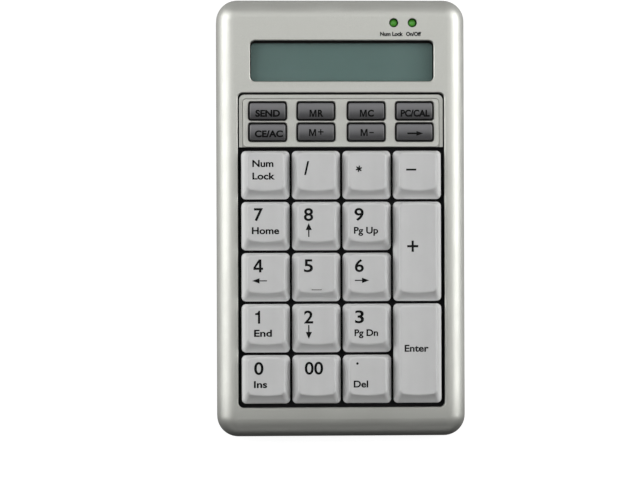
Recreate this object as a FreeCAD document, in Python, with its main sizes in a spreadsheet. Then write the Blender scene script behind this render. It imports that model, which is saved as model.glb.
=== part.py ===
import FreeCAD, Part
import math
import os
import re
import Sketcher
from FreeCAD import Placement, Rotation, Vector

# Numeric keypad with a display, eight memory and function buttons and eighteen keys.
# Sizes are in millimetres, angles in degrees.
#
# Nearly every piece is drawn in the deck frame: X runs to the right, Y runs along the sloping
# deck towards the rear, and Z is square to the deck with 0 on the deck's surface, so the inside
# of the case has negative heights. The deck frame is tilted and raised onto the desk by
# place_on_deck. The desk is the plane Z = 0 of the assembly.

SIZES = {
    # case
    "case_width": 93.6,
    "case_length": 164.4,
    "corner_radius": 8,
    "edge_radius": 6.8,
    "wall": 2.2,
    "parting_depth": 8.5,
    "register_height": 1.2,
    "deck_tilt": 2.5,
    "deck_height": 17.1,
    "deck_shift": -0.66,
    "base_level": 1.0,
    "floor_thickness": 1.8,
    "base_chamfer": 1.0,
    "opening_chamfer": 0.3,
    # key bay
    "bay_width": 77.7,
    "bay_front": -71.2,
    "bay_rear": 47.0,
    "bay_radius": 2.0,
    "bay_lip": 1.4,
    "boss_diameter": 5.6,
    "board_boss_diameter": 4.2,
    "pilot_diameter": 2.1,
    "pilot_depth": 5.5,
    "window_radius": 2.0,
    # lower shell
    "register_gap": 0.15,
    "register_thickness": 0.95,
    "rib_length": 60.0,
    "rib_thickness": 1.2,
    "pillar_diameter": 6.6,
    "screw_clearance": 2.6,
    "head_seat_diameter": 4.8,
    "head_seat_depth": 11.0,
    # keys
    "pitch_across": 19.0,
    "pitch_along": 19.15,
    "first_row": 16.1,
    "cap_size": 18.15,
    "cap_corner": 1.7,
    "cap_rim": 1.2,
    "cap_height": 5.8,
    "cap_side_slope": 2.2,
    "cap_front_slope": 3.9,
    "cap_rear_slope": 0.7,
    "cap_edge": 0.8,
    "cap_wall": 1.2,
    "cap_roof": 2.3,
    "dish_radius": 22.0,
    "dish_depth": 1.15,
    "stem_diameter": 5.0,
    "stem_end": 6.8,
    "hook_span": 6.3,
    "hook_height": 0.9,
    "hook_thickness": 1.6,
    "homing_length": 3.6,
    "homing_width": 0.8,
    "homing_along": -4.2,
    "homing_height": 0.8,
    "key_travel": 2.5,
    # key frame and switch layers, as depths under the deck
    "frame_top": 4.2,
    "frame_bottom": 5.6,
    "frame_margin": 1.4,
    "chimney_bore": 5.18,
    "chimney_diameter": 7.5,
    "chimney_top": 1.3,
    "dome_top": 7.1,
    "sheet_top": 9.3,
    "sheet_bottom": 9.7,
    "dome_diameter": 9.0,
    "film_thickness": 0.1,
    "plate_thickness": 0.7,
    "stack_rear": 26.4,
    "frame_pillar_diameter": 4.4,
    "frame_pilot_diameter": 1.7,
    "frame_pilot_depth": 3.6,
    "clip_width": 3.0,
    "clip_length": 2.0,
    # stabilizer bars of the two tall keys
    "bar_diameter": 1.2,
    "bar_arm": 8.0,
    "bar_depth": 3.0,
    "bar_offset": 5.7,
    "bar_reach": 11.0,
    "bar_pin": 2.6,
    # function panel and its buttons
    "panel_width": 76.6,
    "panel_front": 26.6,
    "panel_rear": 46.3,
    "panel_rim": 0.9,
    "panel_field": 0.3,
    "panel_underside": 2.4,
    "panel_border": 1.6,
    "panel_groove": 0.35,
    "panel_corner": 2.0,
    "field_corner": 1.2,
    "button_inner": 9.45,
    "button_outer": 27.6,
    "button_rear": 40.1,
    "button_front": 32.15,
    "hole_width": 14.6,
    "hole_length": 7.3,
    "hole_corner": 1.1,
    "button_width": 13.3,
    "button_length": 5.9,
    "button_rise": 0.9,
    "button_crown": 6.5,
    "button_edge": 0.5,
    "plunger_diameter": 3.2,
    "keymat_width": 72.0,
    "keymat_length": 16.4,
    "keymat_thickness": 0.6,
    "button_dome_diameter": 6.0,
    "button_dome_height": 2.4,
    "button_travel": 1.0,
    "flange_width": 16.5,
    "flange_length": 7.6,
    "flange_top": 2.7,
    "flange_bottom": 3.7,
    # circuit board, display and lamps
    "board_top": 7.4,
    "board_thickness": 1.6,
    "board_width": 86.0,
    "board_front": 27.6,
    "board_shoulder": 70.0,
    "board_rear": 78.5,
    "board_tongue": 70.0,
    "window_width": 69.1,
    "window_length": 15.4,
    "window_centre": 58.95,
    "window_across": 0.4,
    "lens_thickness": 1.0,
    "glass_top": 3.4,
    "glass_bottom": 5.2,
    "lamp_left": 19.9,
    "lamp_right": 26.9,
    "lamp_row": 73.3,
    "lamp_diameter": 3.0,
    "lamp_hole": 3.5,
    "lamp_top": 1.0,
    "lamp_base": 5.2,
    "lamp_collar": 3.8,
    "lamp_collar_height": 0.9,
    "lamp_leg": 0.5,
    "lamp_leg_hole": 0.9,
    # feet, measured on the desk plane
    "foot_pin_y": 72.0,
    "foot_pin_z": 2.7,
    "foot_x": 24.0,
    "foot_width": 15.0,
    "foot_length": 22.0,
    "foot_thickness": 2.4,
    "foot_pin_diameter": 2.4,
    "recess_width": 15.8,
    "recess_wall": 1.6,
    "pad_diameter": 8.0,
    # screws and cable entry
    "case_screw_front": 36.0,
    "case_screw_rear": 39.0,
    "case_screw_front_row": -75.8,
    "case_screw_rear_row": 74.5,
    "gland_depth": 13.4,
    "gland_neck": 5.0,
    "gland_bore": 3.8,
    "gland_flange": 7.4,
}

# The keys as they lie on the deck, from the rear row to the front one. None is the lower half of
# the tall key above it.
KEY_ROWS = [
    ["key_num_lock", "key_divide", "key_multiply", "key_minus"],
    ["key_7", "key_8", "key_9", "key_plus"],
    ["key_4", "key_5", "key_6", None],
    ["key_1", "key_2", "key_3", "key_enter"],
    ["key_0", "key_00", "key_decimal", None],
]

BUTTON_ROWS = [
    ["button_send", "button_mr", "button_mc", "button_mode"],
    ["button_clear", "button_m_plus", "button_m_minus", "button_backspace"],
]
BUTTON_COLUMNS = ["-button_outer", "-button_inner", "button_inner", "button_outer"]
BUTTON_LINES = ["button_rear", "button_front"]

CASE_SCREWS = [
    ("-case_screw_front", "case_screw_front_row"),
    ("case_screw_front", "case_screw_front_row"),
    ("-case_screw_rear", "case_screw_rear_row"),
    ("case_screw_rear", "case_screw_rear_row"),
]
BOARD_SCREWS = [("-40.4", "53"), ("40.4", "53"), ("-32", "76.4"), ("32", "76.4")]
FRAME_SCREWS = [
    ("-pitch_across", "first_row - pitch_along / 2"),
    ("pitch_across", "first_row - pitch_along / 2"),
    ("-pitch_across", "first_row - 3.5 * pitch_along"),
    ("pitch_across", "first_row - 3.5 * pitch_along"),
]
RIB_ROWS = ["-64", "-32", "-5", "22"]
LAMP_LEGS = ["-1.27", "1.27"]
CHIPS = [("14", "46", "12", "12"), ("-20", "52", "8", "5"), ("30", "60", "4.5", "10")]

# Depth of the underside of the three switch films, and of the steel plate that backs them.
FILM_BOTTOM = "sheet_bottom + 3 * film_thickness"
PLATE_BOTTOM = f"{FILM_BOTTOM} + plate_thickness"
RUBBER_PADS = [("-39.5", "-62"), ("39.5", "-62"), ("-39.5", "63"), ("39.5", "63")]

doc = FreeCAD.newDocument("keypad")
sheet = doc.addObject("Spreadsheet::Sheet", "dimensions")
for line, (name, number) in enumerate(SIZES.items(), start=1):
    sheet.set(f"A{line}", name)
    sheet.set(f"B{line}", str(number))
    sheet.setAlias(f"B{line}", name)
doc.recompute()

SIZE_NAME = re.compile(r"\b(" + "|".join(sorted(SIZES, key=len, reverse=True)) + r")\b")
TILT = "(deck_tilt * 1deg)"
pieces = []


# ---------------------------------------------------------------- expressions and placement

def bound(text):
    """An expression with every size name pointed at its cell in the dimension sheet."""
    return SIZE_NAME.sub(r"dimensions.\1", str(text))


def size(text):
    """The present value of an expression of sizes."""
    return float(sheet.evalExpression(bound(text)))


def keep(piece):
    """Add a finished sub-part to the list that is exported."""
    pieces.append(piece)
    return piece


def place_on_deck(piece, across="0", along="0"):
    """Put a piece's own origin on the tilted deck, at the given point of the deck frame."""
    piece.Placement = Placement(Vector(0, 0, 0), Rotation(Vector(1, 0, 0), size("deck_tilt")))
    piece.setExpression("Placement.Base.x", bound(across))
    piece.setExpression("Placement.Base.y", bound(f"deck_shift + ({along}) * cos{TILT}"))
    piece.setExpression("Placement.Base.z", bound(f"deck_height + ({along}) * sin{TILT}"))
    piece.setExpression("Placement.Rotation.Angle", bound("deck_tilt"))


def new_body(label, across="0", along="0", on_deck=True):
    """An empty PartDesign body, standing on the deck or, if asked, on the desk."""
    body = doc.addObject("PartDesign::Body", label)
    body.Label = label
    if on_deck:
        place_on_deck(body, across, along)
    return keep(body)


# ---------------------------------------------------------------- sketches

def outline(body, level="0", plane="XY_Plane"):
    """A sketch parallel to one of the body's own planes, offset from it by level."""
    sketch = body.newObject("Sketcher::SketchObject", "outline")
    origin = [item for item in body.Origin.OriginFeatures if item.Role == plane][0]
    sketch.AttachmentSupport = [(origin, "")]
    sketch.MapMode = "FlatFace"
    sketch.setExpression(".AttachmentOffset.Base.z", bound(level))
    return sketch


def desk_outline(body, level):
    """A sketch in a body on the deck that is parallel to the desk, at a height above it."""
    sketch = outline(body)
    drop = f"(({level}) - deck_height)"
    sketch.AttachmentOffset = Placement(Vector(), Rotation(Vector(-1, 0, 0), size("deck_tilt")))
    shift = f"({drop} * sin{TILT} - deck_shift * cos{TILT})"
    rise = f"({drop} * cos{TILT} + deck_shift * sin{TILT})"
    sketch.setExpression(".AttachmentOffset.Base.y", bound(shift))
    sketch.setExpression(".AttachmentOffset.Base.z", bound(rise))
    sketch.setExpression(".AttachmentOffset.Rotation.Angle", bound("deck_tilt"))
    return sketch


def hold(sketch, kind, *geometry, value):
    """Add a driving constraint to a sketch and bind it to an expression of sizes."""
    index = sketch.addConstraint(Sketcher.Constraint(kind, *geometry, size(value)))
    sketch.setExpression(f"Constraints[{index}]", bound(value))


def add_circle(sketch, x, y, diameter):
    circle = Part.Circle(Vector(size(x), size(y), 0), Vector(0, 0, 1), size(diameter) / 2)
    index = sketch.addGeometry(circle)
    hold(sketch, "DistanceX", -1, 1, index, 3, value=x)
    hold(sketch, "DistanceY", -1, 1, index, 3, value=y)
    hold(sketch, "Diameter", index, value=diameter)


def add_polygon(sketch, corners):
    """A closed run of straight lines through corners given as pairs of expressions."""
    points = [Vector(size(x), size(y), 0) for x, y in corners]
    first = sketch.GeometryCount
    count = len(points)
    for index, point in enumerate(points):
        sketch.addGeometry(Part.LineSegment(point, points[(index + 1) % count]))
    for index, (x, y) in enumerate(corners):
        following = first + (index + 1) % count
        sketch.addConstraint(Sketcher.Constraint("Coincident", first + index, 2, following, 1))
        hold(sketch, "DistanceX", -1, 1, first + index, 1, value=x)
        hold(sketch, "DistanceY", -1, 1, first + index, 1, value=y)


def add_path(sketch, corners):
    """An open run of straight lines through corners given as pairs of expressions."""
    points = [Vector(size(x), size(y), 0) for x, y in corners]
    for index, (start, end) in enumerate(zip(points, points[1:])):
        sketch.addGeometry(Part.LineSegment(start, end))
        if index:
            sketch.addConstraint(Sketcher.Constraint("Coincident", index - 1, 2, index, 1))
        hold(sketch, "DistanceX", -1, 1, index, 1, value=corners[index][0])
        hold(sketch, "DistanceY", -1, 1, index, 1, value=corners[index][1])
    hold(sketch, "DistanceX", -1, 1, index, 2, value=corners[-1][0])
    hold(sketch, "DistanceY", -1, 1, index, 2, value=corners[-1][1])


def add_rectangle(sketch, x, y, width, length):
    """A rectangle with square corners about a centre."""
    left, right = f"({x}) - ({width}) / 2", f"({x}) + ({width}) / 2"
    low, high = f"({y}) - ({length}) / 2", f"({y}) + ({length}) / 2"
    add_polygon(sketch, [(left, low), (right, low), (right, high), (left, high)])


def add_rounded_rectangle(sketch, x, y, width, length, radius):
    """A rectangle with four equal round corners about a centre."""
    half_width, half_length, bend = size(width) / 2, size(length) / 2, size(radius)
    centre = Vector(size(x), size(y), 0)
    first = sketch.GeometryCount
    turns = [(1, -1), (1, 1), (-1, 1), (-1, -1)]
    hubs = [
        centre + Vector(sign_x * (half_width - bend), sign_y * (half_length - bend), 0)
        for sign_x, sign_y in turns
    ]
    for corner, hub in enumerate(hubs):
        start = math.radians(90 * corner - 90)
        circle = Part.Circle(hub, Vector(0, 0, 1), bend)
        sketch.addGeometry(Part.ArcOfCircle(circle, start, start + math.pi / 2))
        ahead = Vector(math.cos(start + math.pi / 2), math.sin(start + math.pi / 2), 0) * bend
        following = hubs[(corner + 1) % 4] + ahead
        sketch.addGeometry(Part.LineSegment(hub + ahead, following))
    for index in range(8):
        following = first + (index + 1) % 8
        sketch.addConstraint(Sketcher.Constraint("Tangent", first + index, 2, following, 1))
    for corner in range(4):
        direction = "Horizontal" if corner % 2 else "Vertical"
        sketch.addConstraint(Sketcher.Constraint(direction, first + 2 * corner + 1))
    for corner in range(1, 4):
        sketch.addConstraint(Sketcher.Constraint("Equal", first, first + 2 * corner))
    hold(sketch, "Radius", first, value=radius)
    hold(sketch, "DistanceX", -1, 1, first, 3, value=f"({x}) + ({width}) / 2 - ({radius})")
    hold(sketch, "DistanceY", -1, 1, first, 3, value=f"({y}) - ({length}) / 2 + ({radius})")
    hold(sketch, "DistanceX", first + 4, 3, first, 3, value=f"({width}) - 2 * ({radius})")
    hold(sketch, "DistanceY", first, 3, first + 4, 3, value=f"({length}) - 2 * ({radius})")


def add_cross(sketch, x, y, span, slot):
    """The outline of a cross-head driver recess."""
    far, near = f"({span}) / 2", f"({slot}) / 2"
    corners = []
    for along, across in [((1, 0), (0, 1)), ((0, 1), (-1, 0)), ((-1, 0), (0, -1)), ((0, -1), (1, 0))]:
        for reach, side in [(far, -1), (far, 1), (near, 1)]:
            corner_x = f"({x}) + {along[0]} * {reach} + {side * across[0]} * {near}"
            corner_y = f"({y}) + {along[1]} * {reach} + {side * across[1]} * {near}"
            corners.append((corner_x, corner_y))
    add_polygon(sketch, corners)


# ---------------------------------------------------------------- solid features

def feature(body, kind, sketch):
    made = body.newObject(f"PartDesign::{kind}", kind.lower())
    made.Profile = sketch
    sketch.Visibility = False
    return made


def settle(made, grows):
    """Recompute, and stop the build if the feature failed or left the body as it was."""
    before = made.BaseFeature.Shape.Volume if made.BaseFeature else 0
    doc.recompute()
    change = made.Shape.Volume - before
    if not made.isValid() or change * (1 if grows else -1) < 1e-4:
        raise SystemExit(f"{made.Label} in {made.getParent().Label} changed nothing: {change}")
    return made


def pad(body, sketch, length, down=False, both=False, slope=0):
    made = feature(body, "Pad", sketch)
    made.Reversed = down
    made.Midplane = both
    made.TaperAngle = -slope
    made.setExpression("Length", bound(length))
    return settle(made, grows=True)


def pocket(body, sketch, depth, up=False, both=False, slope=0):
    made = feature(body, "Pocket", sketch)
    made.Reversed = up
    made.Midplane = both
    made.TaperAngle = -slope
    made.setExpression("Length", bound(depth))
    return settle(made, grows=False)


def loft(body, lower, upper, cut=False):
    """A straight-sided solid, or hollow, between two sketches."""
    made = feature(body, "SubtractiveLoft" if cut else "AdditiveLoft", lower)
    made.Sections = [upper]
    made.Ruled = True
    return settle(made, grows=not cut)


def dress(body, kind, base, amount, chosen):
    """Fillet or chamfer the edges of the base feature that pass the chosen test."""
    names = [f"Edge{i}" for i, edge in enumerate(base.Shape.Edges, start=1) if chosen(edge)]
    made = body.newObject(f"PartDesign::{kind}", kind.lower())
    made.Base = (base, names)
    made.setExpression("Radius" if kind == "Fillet" else "Size", bound(amount))
    doc.recompute()
    if not names or not made.isValid():
        raise SystemExit(f"{kind} in {body.Label} failed on {len(names)} edges")
    return made


def flat_at(level):
    """A test for edges that lie wholly at one height."""
    height = size(level)
    return lambda edge: (
        abs(edge.BoundBox.ZMin - height) < 1e-4 and abs(edge.BoundBox.ZMax - height) < 1e-4)


def key_places():
    """Every key with its name, column and row centres as expressions, and rows spanned."""
    for row, names in enumerate(KEY_ROWS):
        for column, name in enumerate(names):
            if name is None:
                continue
            tall = row + 1 < len(KEY_ROWS) and KEY_ROWS[row + 1][column] is None
            across = f"{column - 1.5} * pitch_across"
            along = f"first_row - {row + 0.5 * tall} * pitch_along"
            yield name, across, along, 2 if tall else 1


def button_places():
    """Every function button with its name and centre as expressions."""
    for names, line in zip(BUTTON_ROWS, BUTTON_LINES):
        for name, column in zip(names, BUTTON_COLUMNS):
            yield name, column, line


def slab(label, top, thickness, draw):
    """A flat piece between two depths, whose outline is drawn by a function of the sketch."""
    body = new_body(label)
    sketch = outline(body, f"-({top})")
    draw(sketch)
    pad(body, sketch, thickness, down=True)
    return body


# ---------------------------------------------------------------- case

def draw_bay(sketch, margin="0"):
    """The outline of the key bay, grown by a margin on every side."""
    add_rounded_rectangle(
        sketch, "0", "(bay_front + bay_rear) / 2", f"bay_width + 2 * ({margin})",
        f"bay_rear - bay_front + 2 * ({margin})", f"bay_radius + ({margin})")


def at_openings(edge):
    """A test for the edges of the deck's openings, which stay clear of its rounded border."""
    border = size("edge_radius") + 0.5
    box = edge.BoundBox
    return (flat_at("0")(edge) and box.XMin > border - size("case_width / 2")
            and box.XMax < size("case_width / 2") - border
            and box.YMin > border - size("case_length / 2")
            and box.YMax < size("case_length / 2") - border)


def top_case():
    body = new_body("top_case")
    shell = outline(body, "-parting_depth")
    add_rounded_rectangle(shell, "0", "0", "case_width", "case_length", "corner_radius")
    solid = pad(body, shell, "parting_depth")
    dress(body, "Fillet", solid, "edge_radius", flat_at("0"))
    hollow = outline(body, "-parting_depth")
    add_rounded_rectangle(
        hollow, "0", "0", "case_width - 2 * wall", "case_length - 2 * wall", "corner_radius - wall")
    hollowed = pocket(body, hollow, "parting_depth - wall", up=True)
    dress(body, "Fillet", hollowed, "edge_radius - wall", flat_at("-wall"))

    lip = outline(body, "-frame_top")
    draw_bay(lip, "bay_lip")
    pad(body, lip, "frame_top - wall / 2")
    for across, along in CASE_SCREWS:
        boss = outline(body, "-parting_depth")
        add_circle(boss, across, along, "boss_diameter")
        pad(body, boss, "parting_depth - wall / 2")
    board_bosses = outline(body, "-board_top")
    for across, along in BOARD_SCREWS:
        add_circle(board_bosses, across, along, "board_boss_diameter")
    pad(body, board_bosses, "board_top - wall / 2")

    pilots = outline(body, "-parting_depth")
    for across, along in CASE_SCREWS + BOARD_SCREWS:
        add_circle(pilots, across, along, "pilot_diameter")
    pocket(body, pilots, "pilot_depth", up=True)
    openings = outline(body)
    draw_bay(openings)
    add_rounded_rectangle(openings, "window_across", "window_centre", "window_width",
                          "window_length", "window_radius")
    add_circle(openings, "lamp_left", "lamp_row", "lamp_hole")
    add_circle(openings, "lamp_right", "lamp_row", "lamp_hole")
    opened = pocket(body, openings, "parting_depth")
    dress(body, "Chamfer", opened, "opening_chamfer", at_openings)


def desk_height(level, along):
    """The depth under the deck of a level above the desk, at a point along the deck."""
    return f"((({level}) - deck_height) / cos{TILT} - ({along}) * tan{TILT})"


def at_desk_level(level):
    """A test for edges of a body on the deck that lie at one height above the desk."""
    slope = math.tan(math.radians(size("deck_tilt")))
    depth = size(desk_height(level, "0"))
    return lambda edge: all(abs(v.Z + v.Y * slope - depth) < 1e-3 for v in edge.Vertexes)


def wedge(body, inset, level, cut=False):
    """The lower shell's plan, drawn down from the parting plane to a level above the desk."""
    width, radius = f"case_width - 2 * ({inset})", f"corner_radius - ({inset})"
    top = outline(body, "-parting_depth")
    add_rounded_rectangle(top, "0", "0", width, f"case_length - 2 * ({inset})", radius)
    base = desk_outline(body, level)
    add_rounded_rectangle(base, "0", f"deck_shift - (({level}) - deck_height) * tan{TILT}", width,
                          f"(case_length - 2 * ({inset})) / cos{TILT}", radius)
    return loft(body, top, base, cut)


def bottom_case():
    body = new_body("bottom_case")
    solid = wedge(body, "0", "base_level")
    dress(body, "Chamfer", solid, "base_chamfer", at_desk_level("base_level"))
    wedge(body, "wall", "base_level + floor_thickness", cut=True)
    add_register(body)
    add_module_ribs(body)
    add_screw_pillars(body)
    add_foot_recesses(body)
    gland_seat = outline(body, "1 + wall - case_length / 2", plane="XZ_Plane")
    add_circle(gland_seat, "0", "-gland_depth", "gland_neck")
    pocket(body, gland_seat, "wall + 2")


def add_register(body):
    """A low rib round the inside of the rim, which centres the upper shell."""
    rib = outline(body, "-parting_depth - 1")
    for inset in ["wall + register_gap", "wall + register_gap + register_thickness"]:
        add_rounded_rectangle(rib, "0", "0", f"case_width - 2 * ({inset})",
                              f"case_length - 2 * ({inset})", f"corner_radius - ({inset})")
    pad(body, rib, "register_height + 1")


def add_module_ribs(body):
    """Cross ribs that press the key module up against the lip of the bay."""
    for along in RIB_ROWS:
        rib = outline(body, f"-({PLATE_BOTTOM})")
        add_rectangle(rib, "0", along, "rib_length", "rib_thickness")
        drop = f"-({desk_height('base_level + floor_thickness / 2', along)})"
        pad(body, rib, f"{drop} - ({PLATE_BOTTOM})", down=True)


def add_screw_pillars(body):
    """Hollow pillars for the case screws, counterbored from below for the screw heads."""
    for across, along in CASE_SCREWS:
        pillar = outline(body, "-parting_depth")
        add_circle(pillar, across, along, "pillar_diameter")
        depth = f"-({desk_height('base_level + floor_thickness / 2', along)}) - parting_depth"
        pad(body, pillar, depth, down=True)
    holes = outline(body, "-parting_depth")
    for across, along in CASE_SCREWS:
        add_circle(holes, across, along, "screw_clearance")
    pocket(body, holes, "case_width")
    heads = outline(body, "-head_seat_depth")
    for across, along in CASE_SCREWS:
        add_circle(heads, across, along, "head_seat_diameter")
    pocket(body, heads, "case_width")


def add_foot_recesses(body):
    """Closed boxes in the floor that take the folded tilt feet, with holes for their pins."""
    front = "(foot_pin_y - foot_length - 4.5)"
    rear = "(foot_pin_y + foot_thickness / 2 + 1.2)"
    middle, length = f"({front} + {rear}) / 2", f"({rear} - {front})"
    roof = "foot_pin_z + foot_thickness / 2 + 0.7"
    for side in ["-foot_x", "foot_x"]:
        box = desk_outline(body, "base_level + 0.2")
        add_rounded_rectangle(box, side, middle, "recess_width + 2 * recess_wall",
                              f"{length} + 2 * recess_wall", "2")
        pad(body, box, f"{roof} + recess_wall - base_level - 0.2")
    hollows = desk_outline(body, "base_level - 2")
    for side in ["-foot_x", "foot_x"]:
        add_rounded_rectangle(hollows, side, middle, "recess_width", length, "0.8")
    pocket(body, hollows, f"{roof} - base_level + 2", up=True)
    reach, drop = "(foot_pin_y - deck_shift)", "(foot_pin_z - deck_height)"
    for side in ["-foot_x", "foot_x"]:
        pin_holes = outline(body, side, plane="YZ_Plane")
        add_circle(pin_holes, f"{reach} * cos{TILT} + {drop} * sin{TILT}",
                   f"{drop} * cos{TILT} - {reach} * sin{TILT}", "foot_pin_diameter + 0.1")
        pocket(body, pin_holes, "recess_width + 2.4", both=True)


# ---------------------------------------------------------------- keys

def keycap(name, across, along, rows):
    """A dished cap with a sloping front, hollow underneath, on a round stem with two hooks."""
    body = new_body(name, across, along)
    length = f"(cap_size + {rows - 1} * pitch_along)"
    top_length = f"({length} - cap_front_slope - cap_rear_slope)"
    back = "(cap_front_slope - cap_rear_slope) / 2"
    foot = outline(body, "-cap_rim")
    add_rounded_rectangle(foot, "0", "0", "cap_size", length, "cap_corner")
    face = outline(body, "cap_height - cap_rim")
    add_rounded_rectangle(face, "0", back, "cap_size - 2 * cap_side_slope", top_length, "cap_corner")
    loft(body, foot, face)

    dish = outline(body, plane="XZ_Plane")
    add_circle(dish, "0", "cap_height - cap_rim + dish_radius - dish_depth", "2 * dish_radius")
    dished = pocket(body, dish, f"2 * {length}", both=True)
    near_top = size("cap_height - cap_rim - dish_depth") - 0.05
    dress(body, "Fillet", dished, "cap_edge", lambda edge: edge.BoundBox.ZMin > near_top)

    share = "((cap_height - cap_roof) / cap_height)"
    lower = outline(body, "-cap_rim")
    add_rounded_rectangle(lower, "0", "0", "cap_size - 2 * cap_wall", f"{length} - 2 * cap_wall",
                          "cap_corner / 2")
    upper = outline(body, "cap_height - cap_rim - cap_roof")
    add_rounded_rectangle(
        upper, "0", f"{back} * {share}", f"cap_size - 2 * cap_side_slope * {share} - 2 * cap_wall",
        f"{length} - (cap_front_slope + cap_rear_slope) * {share} - 2 * cap_wall", "cap_corner / 2")
    loft(body, lower, upper, cut=True)

    stem = outline(body, "-stem_end")
    add_circle(stem, "0", "0", "stem_diameter")
    pad(body, stem, "stem_end + cap_height - cap_rim - cap_roof + 0.5")
    hooks = outline(body, "-stem_end")
    add_rectangle(hooks, "0", "0", "hook_span", "hook_thickness")
    pad(body, hooks, "hook_height")
    if rows > 1:
        add_bar_lugs(body)
    if name == "key_5":
        bar = outline(body, "cap_height - cap_rim - dish_depth - 0.3")
        add_rounded_rectangle(
            bar, "0", "homing_along", "homing_length", "homing_width", "0.4 * homing_width")
        pad(body, bar, "homing_height")
    return body


def add_bar_lugs(body):
    """Slotted plates under the roof of a tall key, which the ends of its bar slide in."""
    pin_level = "(key_travel - bar_depth)"
    pin_across = "(bar_arm - bar_offset)"
    roof = "cap_height - cap_rim - cap_roof"
    for side in [-1, 1]:
        lug = outline(body, f"{pin_level} - 1.6")
        add_rectangle(lug, f"{pin_across} - 0.2", f"{side} * (bar_reach - 1.6)", "3.6", "1.2")
        pad(body, lug, f"{roof} - {pin_level} + 2.0")
    slot = outline(body, plane="XZ_Plane")
    add_rounded_rectangle(slot, f"{pin_across} - 0.2", pin_level, "bar_diameter + 0.75",
                          "bar_diameter + 0.2", "bar_diameter / 2 + 0.05")
    pocket(body, slot, "2 * bar_reach - 1", both=True)


def stabilizer(name, across, along):
    """A bent wire that keeps a tall key level: a shaft along the key, two arms and two pins."""
    body = new_body(name, f"{across} - bar_offset", along)
    rise = "asin(key_travel / bar_arm)"
    path = outline(body, "-bar_depth")
    path.AttachmentOffset = Placement(Vector(), Rotation(Vector(0, -1, 0), 1))
    path.setExpression(".AttachmentOffset.Rotation.Angle", bound(rise))
    inner = "(bar_reach - bar_pin)"
    add_path(path, [("bar_arm", inner), ("bar_arm", "bar_reach"), ("0", "bar_reach"),
                    ("0", "-bar_reach"), ("bar_arm", "-bar_reach"), ("bar_arm", f"-{inner}")])
    section = outline(body, f"-{inner}", plane="XZ_Plane")
    add_circle(section, f"bar_arm * cos({rise})", "key_travel - bar_depth", "bar_diameter")
    wire = feature(body, "AdditivePipe", section)
    wire.Spine = (path, [f"Edge{index}" for index in range(1, 6)])
    wire.Transition = "Round corner"
    settle(wire, grows=True)


def key_frame():
    """The plate with a guide chimney for each stem, and pillars for the screws below."""
    body = new_body("key_frame")
    plate = outline(body, "-frame_top")
    draw_bay(plate, "frame_margin")
    pad(body, plate, "frame_bottom - frame_top", down=True)
    chimneys = outline(body, "-frame_top")
    for name, across, along, rows in key_places():
        add_circle(chimneys, across, along, "chimney_diameter")
    pad(body, chimneys, "frame_top - chimney_top")
    pillars = outline(body, "-frame_bottom")
    for across, along in FRAME_SCREWS:
        add_circle(pillars, across, along, "frame_pillar_diameter")
    pad(body, pillars, "sheet_top - frame_bottom", down=True)
    pilots = outline(body, "-sheet_top")
    for across, along in FRAME_SCREWS:
        add_circle(pilots, across, along, "frame_pilot_diameter")
    pocket(body, pilots, "frame_pilot_depth", up=True)
    guides = outline(body)
    for name, across, along, rows in key_places():
        add_circle(guides, across, along, "chimney_bore")
    pocket(body, guides, "frame_bottom + 1")
    window = outline(body)
    add_rectangle(window, "0", "(panel_front + panel_rear) / 2", "panel_width - 4",
                  "panel_rear - panel_front - 2.6")
    pocket(body, window, "frame_bottom + 1")
    add_bar_clips(body)
    return body


def add_bar_clips(body):
    """For each tall key, two clips that hold its bar and two windows for its lugs."""
    for name, across, along, rows in key_places():
        if rows == 1:
            continue
        windows = outline(body)
        for side in [-1, 1]:
            add_rectangle(windows, f"{across} - bar_offset + bar_arm - 0.2",
                          f"{along} + {side} * (bar_reach - 1)", "5", "4.6")
        pocket(body, windows, "frame_bottom + 1")
        for side in [-1, 1]:
            clip = outline(body, "-frame_top - 0.2")
            add_rectangle(clip, f"{across} - bar_offset", f"{along} + {side} * 6", "clip_width",
                          "clip_length")
            pad(body, clip, "frame_top - bar_depth + 1.2")
        seat = outline(body, f"-({along})", plane="XZ_Plane")
        add_circle(seat, f"{across} - bar_offset", "-bar_depth", "bar_diameter + 0.1")
        pocket(body, seat, "2 * bar_reach - 4", both=True)


def draw_stack(sketch):
    """The outline shared by the switch layers and the plate under them."""
    add_rounded_rectangle(
        sketch, "0", "(stack_rear + bay_front) / 2", "bay_width + 2",
        "stack_rear - bay_front", "bay_radius")
    for across, along in FRAME_SCREWS:
        add_circle(sketch, across, along, "2.2")


def dome_sheet():
    """The rubber sheet with one collapsing dome under each stem."""
    body = slab("dome_sheet", "sheet_top", "sheet_bottom - sheet_top", draw_stack)
    domes = outline(body, "-sheet_top")
    for name, across, along, rows in key_places():
        add_circle(domes, across, along, "dome_diameter")
    pad(body, domes, "sheet_top - dome_top", slope=30)
    hollows = outline(body, "-sheet_bottom")
    for name, across, along, rows in key_places():
        add_circle(hollows, across, along, "dome_diameter - 1.4")
    pocket(body, hollows, "sheet_bottom - dome_top - 0.6", up=True, slope=28)


def membrane():
    """Two printed films and the spacer between them, which is open under each dome."""
    def draw_spacer(sketch):
        draw_stack(sketch)
        for name, across, along, rows in key_places():
            add_circle(sketch, across, along, "6")

    slab("membrane_upper", "sheet_bottom", "film_thickness", draw_stack)
    slab("membrane_spacer", "sheet_bottom + film_thickness", "film_thickness", draw_spacer)
    lower = slab("membrane_lower", "sheet_bottom + 2 * film_thickness", "film_thickness", draw_stack)
    tail = outline(lower, f"-({FILM_BOTTOM})")
    add_rectangle(tail, "-18", "stack_rear + 2.5", "22", "7")
    pad(lower, tail, "film_thickness")


def backing_plate():
    slab("backing_plate", FILM_BOTTOM, "plate_thickness", draw_stack)


# ---------------------------------------------------------------- function panel and display

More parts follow.
